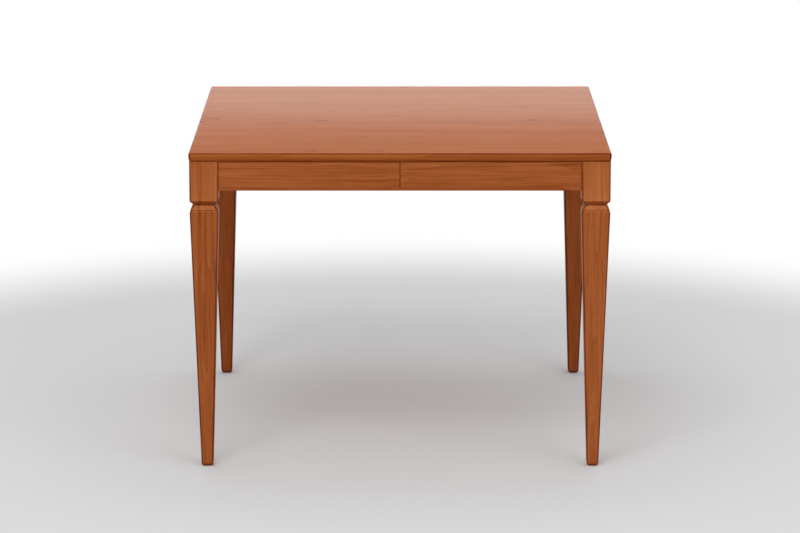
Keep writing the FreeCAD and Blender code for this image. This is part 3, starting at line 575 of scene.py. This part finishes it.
def arrow_flecks(tree, place):
    """Strength of the flecks at a place, from 0 to 1."""
    x, y, z = add_node(tree, "ShaderNodeSeparateXYZ", {0: place}).outputs
    along = calculate(tree, "DIVIDE", z, FLECK_STEP_ALONG)
    across = calculate(tree, "DIVIDE", calculate(tree, "ADD", x, y), FLECK_STEP_ACROSS)
    spot = add_node(tree, "ShaderNodeCombineXYZ", {0: along, 1: across}).outputs[0]
    cell = add_node(tree, "ShaderNodeTexVoronoi", {"Vector": spot, "Scale": 1.0}, voronoi_dimensions="2D")
    away = calculate_vector(tree, "SUBTRACT", spot, cell.outputs["Position"])
    away = calculate_vector(tree, "MULTIPLY", away, (FLECK_STEP_ALONG, FLECK_STEP_ACROSS, 0.0))
    ahead, aside, _ = add_node(tree, "ShaderNodeSeparateXYZ", {0: away}).outputs
    bow = calculate(tree, "MULTIPLY", calculate(tree, "MULTIPLY", aside, aside), FLECK_CURVE)
    behind = calculate(tree, "MULTIPLY", calculate(tree, "ADD", ahead, bow), -1.0)
    front = fade(tree, behind, *FLECK_FRONT)
    tail = fade(tree, behind, 0.0, FLECK_LENGTH, 1.0, 0.0)
    width = fade(tree, calculate(tree, "ABSOLUTE", aside), 0.0, FLECK_HALF_WIDTH, 1.0, 0.0)
    strength = add_node(tree, "ShaderNodeSeparateXYZ", {0: cell.outputs["Color"]}).outputs[0]
    fleck = calculate(tree, "MULTIPLY", calculate(tree, "MULTIPLY", front, tail), width)
    return calculate(tree, "MULTIPLY", fleck, strength)


# %% [markdown]
# ## The figure of the timber
#
# All the woods share one node group, because every board has the same five things in other strengths. The
# group takes a place on the board in metres and gives each of the five as a number from 0 to 1.

# %% Make the figure group

# Stretch along the board, scale, detail and roughness of each noise
BAND_NOISE = (0.05, 22.0, 2.0, 0.5)
STREAK_NOISE = (0.025, 150.0, 5.0, 0.65)
RING_NOISE = (0.022, 26.0, 1.0, 0.4)
PORE_NOISE = (0.05, 750.0, 1.0, 0.5)

# Where a pore begins and is full, the lines of the year rings, and how far the timber sways
PORE_EDGE = (0.58, 0.74)
RING_COUNT = 10.0
RING_SHARPNESS = 2.0
SWAY_NOISE = {"Scale": 7.0, "Detail": 1.0}
SWAY_REACH = 0.012


def figure_group():
    """Bands, streaks, year lines, flecks and pores of a board that lies along the third axis."""
    group = bpy.data.node_groups.new("timber figure", "ShaderNodeTree")
    group.interface.new_socket("Place", in_out="INPUT", socket_type="NodeSocketVector")
    for name in ("Bands", "Streaks", "Lines", "Flecks", "Pores"):
        group.interface.new_socket(name, in_out="OUTPUT", socket_type="NodeSocketFloat")
    place = group.nodes.new("NodeGroupInput").outputs[0]
    sway = add_node(group, "ShaderNodeTexNoise", {"Vector": place} | SWAY_NOISE)
    sway = calculate_vector(group, "SUBTRACT", sway.outputs["Color"], (0.5, 0.5, 0.5))
    sway = calculate_vector(group, "MULTIPLY", sway, (SWAY_REACH, SWAY_REACH, 0.0))
    place = calculate_vector(group, "ADD", place, sway)
    rings = calculate(group, "MULTIPLY", stretched_noise(group, place, *RING_NOISE), RING_COUNT)
    rings = calculate(group, "POWER", calculate(group, "FRACT", rings), RING_SHARPNESS)
    made = {
        "Bands": stretched_noise(group, place, *BAND_NOISE),
        "Streaks": stretched_noise(group, place, *STREAK_NOISE),
        "Lines": rings,
        "Flecks": arrow_flecks(group, place),
        "Pores": fade(group, stretched_noise(group, place, *PORE_NOISE), *PORE_EDGE),
    }
    add_node(group, "NodeGroupOutput", made)
    return group


FIGURE = figure_group()
print("figure group has", len(FIGURE.nodes), "nodes")

# %% [markdown]
# ## The darker edges
#
# The stain gathers at the edges of each board and leaves a thin dark line there. The new meshes carry that
# line as their edge_tone attribute, along with the painted light and shade of the legs and of the top's
# edges. A board that comes straight from the frame is a plain block, so its line can be worked out from its
# size: of the three distances from a point to the block's faces, the middle one is the distance to the
# nearest edge.

# %% Make the edge group


def edge_group():
    """Closeness to the nearest edge of a block, 1 at the edge and 0 one band away."""
    group = bpy.data.node_groups.new("board edge", "ShaderNodeTree")
    for name in ("Place", "Middle", "Half size"):
        group.interface.new_socket(name, in_out="INPUT", socket_type="NodeSocketVector")
    group.interface.new_socket("Band", in_out="INPUT", socket_type="NodeSocketFloat")
    group.interface.new_socket("Edge", in_out="OUTPUT", socket_type="NodeSocketFloat")
    given = group.nodes.new("NodeGroupInput").outputs
    away = calculate_vector(group, "SUBTRACT", given["Place"], given["Middle"])
    away = calculate_vector(group, "ABSOLUTE", away)
    depth = calculate_vector(group, "SUBTRACT", given["Half size"], away)
    x, y, z = add_node(group, "ShaderNodeSeparateXYZ", {0: depth}).outputs
    nearer = calculate(group, "MINIMUM", x, y)
    farther = calculate(group, "MAXIMUM", x, y)
    middle = calculate(group, "MAXIMUM", nearer, calculate(group, "MINIMUM", farther, z))
    edge = fade(group, middle, 0.0, given["Band"], 1.0, 0.0)
    add_node(group, "NodeGroupOutput", {"Edge": edge})
    return group


EDGE = edge_group()
print("edge group has", len(EDGE.nodes), "nodes")

# %% [markdown]
# ## One function for every wood
#
# A wood adds up the five figures and the edge into a single number, its tone, and a colour ramp turns the
# tone into stain or timber. One number keeps the colours on the few shades that the real wood has, which
# separate mixes would soon leave. Roughness and bump come from the same figures, so a dark pore is also a
# little dull and a little deep.

# %% Make the wood function
AXIS_ORDER = {"x": ("Y", "Z", "X"), "y": ("Z", "X", "Y"), "z": ("X", "Y", "Z")}
BOARD_OFFSET = Vector((0.37, 0.53, 1.71))
PORE_ROUGHNESS = 0.12
STREAK_ROUGHNESS = 0.1
PORE_DEPTH = -0.6


def board_place(tree, along, number):
    """Place on a board, with its length as the third axis and its own part of the timber."""
    place = add_node(tree, "ShaderNodeTexCoord", {}).outputs["Object"]
    parts = add_node(tree, "ShaderNodeSeparateXYZ", {0: place}).outputs
    parts = [parts[axis] for axis in AXIS_ORDER[along]]
    turned = add_node(tree, "ShaderNodeCombineXYZ", dict(enumerate(parts)))
    return place, calculate_vector(tree, "ADD", turned.outputs[0], BOARD_OFFSET * number)


def block_edge(tree, place, low, high, band):
    """Edge line of the block between two corners."""
    edge = add_node(tree, "ShaderNodeGroup", {}, node_tree=EDGE)
    tree.links.new(place, edge.inputs["Place"])
    edge.inputs["Middle"].default_value = (low + high) / 2
    edge.inputs["Half size"].default_value = (high - low) / 2
    edge.inputs["Band"].default_value = band
    return edge.outputs[0]


def wood(name, finish, along, number, block=None, shift=0.0):
    """Material of one board. Its edge line comes from a block, or else from the mesh itself."""
    material = bpy.data.materials.new(name)
    tree = new_tree(material)
    place, board = board_place(tree, along, number)
    figure = add_node(tree, "ShaderNodeGroup", {}, node_tree=FIGURE)
    tree.links.new(board, figure.inputs[0])
    if block:
        edge = block_edge(tree, place, *block)
    else:
        edge = add_node(tree, "ShaderNodeAttribute", {}, attribute_name="edge_tone").outputs["Fac"]
    tone = calculate(tree, "MULTIPLY_ADD", edge, finish["edge"], finish["start"] + shift)
    for part, weight in finish["weights"].items():
        tone = calculate(tree, "MULTIPLY_ADD", figure.outputs[part], weight, tone)
    rough = calculate(tree, "MULTIPLY_ADD", figure.outputs["Pores"], PORE_ROUGHNESS, finish["roughness"])
    rough = calculate(tree, "MULTIPLY_ADD", figure.outputs["Streaks"], STREAK_ROUGHNESS, rough)
    height = calculate(tree, "MULTIPLY_ADD", figure.outputs["Pores"], PORE_DEPTH, figure.outputs["Streaks"])
    colour = coloured(tree, tone, finish["colours"])
    finish_surface(
        tree, height, finish["bump"], Base_Color=colour, Roughness=rough, Specular_IOR_Level=finish["gloss"]
    )
    return material


def dress(piece, material):
    """Give a piece one material all over."""
    piece.data.materials.clear()
    piece.data.materials.append(material)


# %% [markdown]
# ## The cherry stain
#
# The stain is a warm reddish brown that goes almost black-red in the edges. The top's timber runs from side
# to side, the legs' up and down, and the fronts' along the apron, so each gets its own direction. The
# drawer fronts were a little darker timber. The varnish of the top is rubbed smoother than the rest, but so
# thin that it mirrors only at a flat angle. A gloss that shone from every side would wash the stain out.

# %% Dress the stained pieces
CHERRY = {
    "colours": [
        (0.0, (0.10, 0.014, 0.0015)),
        (0.3, (0.220, 0.046, 0.008)),
        (0.55, (0.350, 0.092, 0.022)),
        (0.85, (0.475, 0.150, 0.047)),
    ],
    "start": 0.16,
    "edge": -0.42,
    "weights": {"Bands": 0.3, "Streaks": 0.62, "Lines": -0.15, "Flecks": -0.2, "Pores": -0.10},
    "roughness": 0.42,
    "gloss": 0.06,
    "bump": 0.12,
}
CHERRY_TOP = CHERRY | {
    "weights": {"Bands": 0.3, "Streaks": 0.45, "Lines": -0.12, "Flecks": -0.5, "Pores": -0.10},
    "start": 0.31,
    "roughness": 0.12,
    "gloss": 0.0005,
}
CHERRY_BOARD = CHERRY | {"edge": -0.25}
CHERRY_LEG = CHERRY | {
    "weights": {"Bands": 0.2, "Streaks": 0.6, "Lines": -0.12, "Flecks": -0.1, "Pores": -0.10},
    "start": 0.2,
}
FRONT_BAND = 0.001

# A board's number gives it a part of the timber of its own
TOP_NUMBER = 1
FIRST_LEG_NUMBER = 2
FIRST_BOARD_NUMBER = 7

# How much lighter the tone of each leg is, or darker where it is negative. The back legs are painted
# darker with the shade they stand in under the top.
LEG_SHIFTS_AND_SHADE = (0.0, 0.04, -0.1, -0.1)

# Direction of the timber and shift of the tone
STAINED_BOARDS = {
    "left_drawer_front": ("x", -0.05),
    "right_drawer_front": ("x", -0.05),
    "back_apron": ("x", -0.03),
    "left_apron": ("y", -0.03),
    "right_apron": ("y", -0.03),
}

dress(top, wood("cherry_top", CHERRY_TOP, "x", TOP_NUMBER))
for number, (leg_node, shift) in enumerate(zip(LEG_NODES, LEG_SHIFTS_AND_SHADE), start=FIRST_LEG_NUMBER):
    dress(legs[leg_node], wood("cherry_" + leg_node, CHERRY_LEG, "z", number, shift=shift))
for number, (node, (along, shift)) in enumerate(STAINED_BOARDS.items(), start=FIRST_BOARD_NUMBER):
    block = (*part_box(node), FRONT_BAND)
    dress(nodes[node], wood("cherry_" + node, CHERRY_BOARD, along, number, block, shift))
print("stained pieces:", 1 + len(legs) + len(STAINED_BOARDS))

# %% [markdown]
# ## The plain timber inside
#
# What isn't seen from outside was left unstained: rails, runners and drawer boxes are pale beech, and the
# drawer bottoms are thin birch panels. They use the same function with paler ramps and a weaker edge.

# %% Dress the inner pieces
BEECH = {
    "colours": [
        (0.0, (0.22, 0.115, 0.050)),
        (0.3, (0.40, 0.235, 0.115)),
        (0.55, (0.53, 0.335, 0.180)),
        (0.85, (0.62, 0.42, 0.245)),
    ],
    "start": 0.36,
    "edge": -0.18,
    "weights": {"Bands": 0.18, "Streaks": 0.26, "Lines": -0.08, "Flecks": -0.08, "Pores": -0.14},
    "roughness": 0.5,
    "gloss": 0.2,
    "bump": 0.2,
}
BIRCH = BEECH | {
    "colours": [
        (0.0, (0.36, 0.22, 0.11)),
        (0.3, (0.53, 0.36, 0.20)),
        (0.55, (0.64, 0.46, 0.28)),
        (0.85, (0.71, 0.54, 0.36)),
    ],
}
INNER_BAND = 0.0012
FIRST_INNER_NUMBER = 20

inner = [node for node in boards if slots[node] in ("plain_wood", "panel_wood")]
for number, node in enumerate(inner, start=FIRST_INNER_NUMBER):
    low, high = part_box(node)
    size = high - low
    along = "xyz"[max(range(3), key=lambda axis: size[axis])]
    finish = BIRCH if slots[node] == "panel_wood" else BEECH
    dress(nodes[node], wood("timber_" + node, finish, along, number, (low, high, INNER_BAND)))
print("inner pieces:", len(inner))

# %% [markdown]
# ## The screws' steel
#
# Old zinc on steel is grey and a little blotched, with fine lines round it from the turning, and it is worn
# bright on the rim of the head, where a screwdriver slips. The blotches steer the colour and the roughness
# together, because the pale bloom on old zinc is also dull.

# %% Dress the screws
STEEL_COLOURS = [
    (0.0, (0.13, 0.125, 0.12)),
    (0.45, (0.34, 0.335, 0.32)),
    (0.7, (0.50, 0.49, 0.47)),
    (1.0, (0.68, 0.67, 0.65)),
]

# Stretch along the screw, scale, detail and roughness of each noise
TARNISH_NOISE = (1.0, 450.0, 4.0, 0.6)
TURNING_NOISE = (14.0, 300.0, 2.0, 0.5)

# Shares of tarnish, wear and turning lines in the tone, and of tarnish in the roughness
TARNISH_TONE = 0.8
WORN_TONE = 0.3
TURNING_TONE = 0.25
STEEL_ROUGHNESS = 0.2
TARNISH_ROUGHNESS = 0.35
STEEL_BUMP = 0.25


def steel(name):
    """Zinc-plated steel with tarnish, turning lines and a worn rim."""
    material = bpy.data.materials.new(name)
    tree = new_tree(material)
    place = add_node(tree, "ShaderNodeTexCoord", {}).outputs["Object"]
    tarnish = stretched_noise(tree, place, *TARNISH_NOISE)
    lines = stretched_noise(tree, place, *TURNING_NOISE)
    worn = add_node(tree, "ShaderNodeAttribute", {}, attribute_name="edge_tone").outputs["Fac"]
    tone = calculate(tree, "MULTIPLY", tarnish, TARNISH_TONE)
    tone = calculate(tree, "MULTIPLY_ADD", worn, WORN_TONE, tone)
    tone = calculate(tree, "MULTIPLY_ADD", lines, TURNING_TONE, tone)
    rough = calculate(tree, "MULTIPLY_ADD", tarnish, TARNISH_ROUGHNESS, STEEL_ROUGHNESS)
    colour = coloured(tree, tone, STEEL_COLOURS)
    finish_surface(tree, lines, STEEL_BUMP, Base_Color=colour, Roughness=rough, Metallic=1.0)
    return material


screw_steel = steel("screw_steel_zinc")
for screw_set in screws:
    dress(screw_set, screw_steel)
print("sets of screws:", len(screws))

# %% [markdown]
# ## The floor
#
# The table stands on a plain pale floor that fades into a white background. A bright floor would throw
# light up at the table, so the white is only for what is looked at, straight or in a reflection. To the
# light that falls on the table, the floor stays pale and dull, and it keeps the table's shadow.

# %% Make the floor
FLOOR_WIDTH = 40.0
FADE_START = 1.5
FADE_END = 2.3
FLOOR_COLOUR = (0.71, 0.715, 0.725, 1.0)


def seen_rays(tree):
    """1 for the rays that look at the background: those of the camera, of gloss and of glass."""
    rays = add_node(tree, "ShaderNodeLightPath", {}).outputs
    seen = calculate(tree, "MAXIMUM", rays["Is Camera Ray"], rays["Is Glossy Ray"])
    return calculate(tree, "MAXIMUM", seen, rays["Is Transmission Ray"])


def floor_material():
    """Pale floor that turns white far from the table."""
    material = bpy.data.materials.new("pale floor")
    tree = new_tree(material)
    place = add_node(tree, "ShaderNodeTexCoord", {}).outputs["Object"]
    distance = add_node(tree, "ShaderNodeVectorMath", {0: place}, operation="LENGTH").outputs["Value"]
    far = calculate(tree, "MULTIPLY", fade(tree, distance, FADE_START, FADE_END), seen_rays(tree))
    near = add_node(tree, "ShaderNodeBsdfDiffuse", {"Color": FLOOR_COLOUR})
    white = add_node(tree, "ShaderNodeEmission", {"Strength": 1.0})
    mixed = add_node(tree, "ShaderNodeMixShader", {0: far, 1: near.outputs[0], 2: white.outputs[0]})
    add_node(tree, "ShaderNodeOutputMaterial", {"Surface": mixed.outputs[0]})
    return material


def flat_sheet(name, width, depth):
    """Flat four-cornered sheet about the origin."""
    mesh = bpy.data.meshes.new(name)
    x = width / 2
    y = depth / 2
    mesh.from_pydata([(-x, -y, 0), (x, -y, 0), (x, y, 0), (-x, y, 0)], [], [(0, 1, 2, 3)])
    sheet = bpy.data.objects.new(name, mesh)
    bpy.context.scene.collection.objects.link(sheet)
    return sheet


floor = flat_sheet("floor", FLOOR_WIDTH, FLOOR_WIDTH)
dress(floor, floor_material())
print("floor:", FLOOR_WIDTH, "m wide")

# %% [markdown]
# ## The world
#
# The world is the white that surrounds the table, and it also fills the shadows. A full white would make
# them fainter than they are, so the world is dimmer as a light on the table than it is when looked at.

# %% Make the world
WORLD_LIGHT = 0.7


def make_world():
    """White where it is looked at, and softer where it lights the table."""
    world = bpy.data.worlds.new("studio")
    tree = new_tree(world)
    strength = calculate(tree, "MULTIPLY_ADD", seen_rays(tree), 1.0 - WORLD_LIGHT, WORLD_LIGHT)
    sky = add_node(tree, "ShaderNodeBackground", {"Color": (1.0, 1.0, 1.0, 1.0), "Strength": strength})
    add_node(tree, "ShaderNodeOutputWorld", {"Surface": sky.outputs[0]})
    bpy.context.scene.world = world


make_world()
print("world:", bpy.context.scene.world.name, "at", WORLD_LIGHT)

# %% [markdown]
# ## A card for the varnish to mirror
#
# At a flat angle, varnish mirrors what stands behind the table, and the back of the top looks paler for it.
# A lamp there would light the back apron and the floor as well. So a white card stands low behind the
# table, and it is set to show in reflections alone.

# %% Make the card
CARD_GLOW = 8.2
CARD_SIZE = (1.6, 0.165)
CARD_PLACE = (0.0, 0.9, 0.85)


def glowing_card():
    """Low white card behind the table, seen by gloss alone."""
    card = flat_sheet("card", *CARD_SIZE)
    card.location = CARD_PLACE
    card.rotation_euler = (math.radians(90), 0.0, 0.0)
    material = bpy.data.materials.new("white card")
    tree = new_tree(material)
    glow = add_node(tree, "ShaderNodeEmission", {"Strength": CARD_GLOW})
    add_node(tree, "ShaderNodeOutputMaterial", {"Surface": glow.outputs[0]})
    dress(card, material)
    card.visible_camera = False
    card.visible_diffuse = False
    card.visible_shadow = False
    card.visible_transmission = False


glowing_card()
print("card:", CARD_SIZE, "m at", CARD_PLACE)

# %% [markdown]
# ## The lamps
#
# A large soft lamp stands to the front and left, a weaker one to the front and right, and a third hangs
# above the back of the table, so that the back of the top isn't left dark. A sun or a small lamp would be
# simpler, but it throws hard shadows, and the shadow under the table is soft.

# %% Light the table
TABLE_MIDDLE = (0.0, 0.0, 0.4)
TOP_BACK = (0.0, 0.4, 0.77)

# Place, aim, width in metres and power in watts of each lamp
LAMPS = {
    "key lamp": ((-1.2, -4.0, 4.8), TABLE_MIDDLE, 2.6, 90.0),
    "fill lamp": ((2.6, -3.6, 3.6), TABLE_MIDDLE, 2.6, 30.0),
    "top lamp": ((0.0, 1.2, 3.2), TOP_BACK, 2.0, 12.0),
}


def soft_lamp(name, place, aim, size, watts):
    """Square soft lamp that shines from a place towards an aim."""
    lamp_data = bpy.data.lights.new(name, "AREA")
    lamp_data.size = size
    lamp_data.energy = watts
    lamp = bpy.data.objects.new(name, lamp_data)
    lamp.location = place
    lamp.rotation_euler = (Vector(aim) - Vector(place)).to_track_quat("-Z", "Y").to_euler()
    bpy.context.scene.collection.objects.link(lamp)


for lamp_name, settings in LAMPS.items():
    soft_lamp(lamp_name, *settings)
bpy.context.scene.view_settings.view_transform = "Standard"
print("lamps:", list(LAMPS))
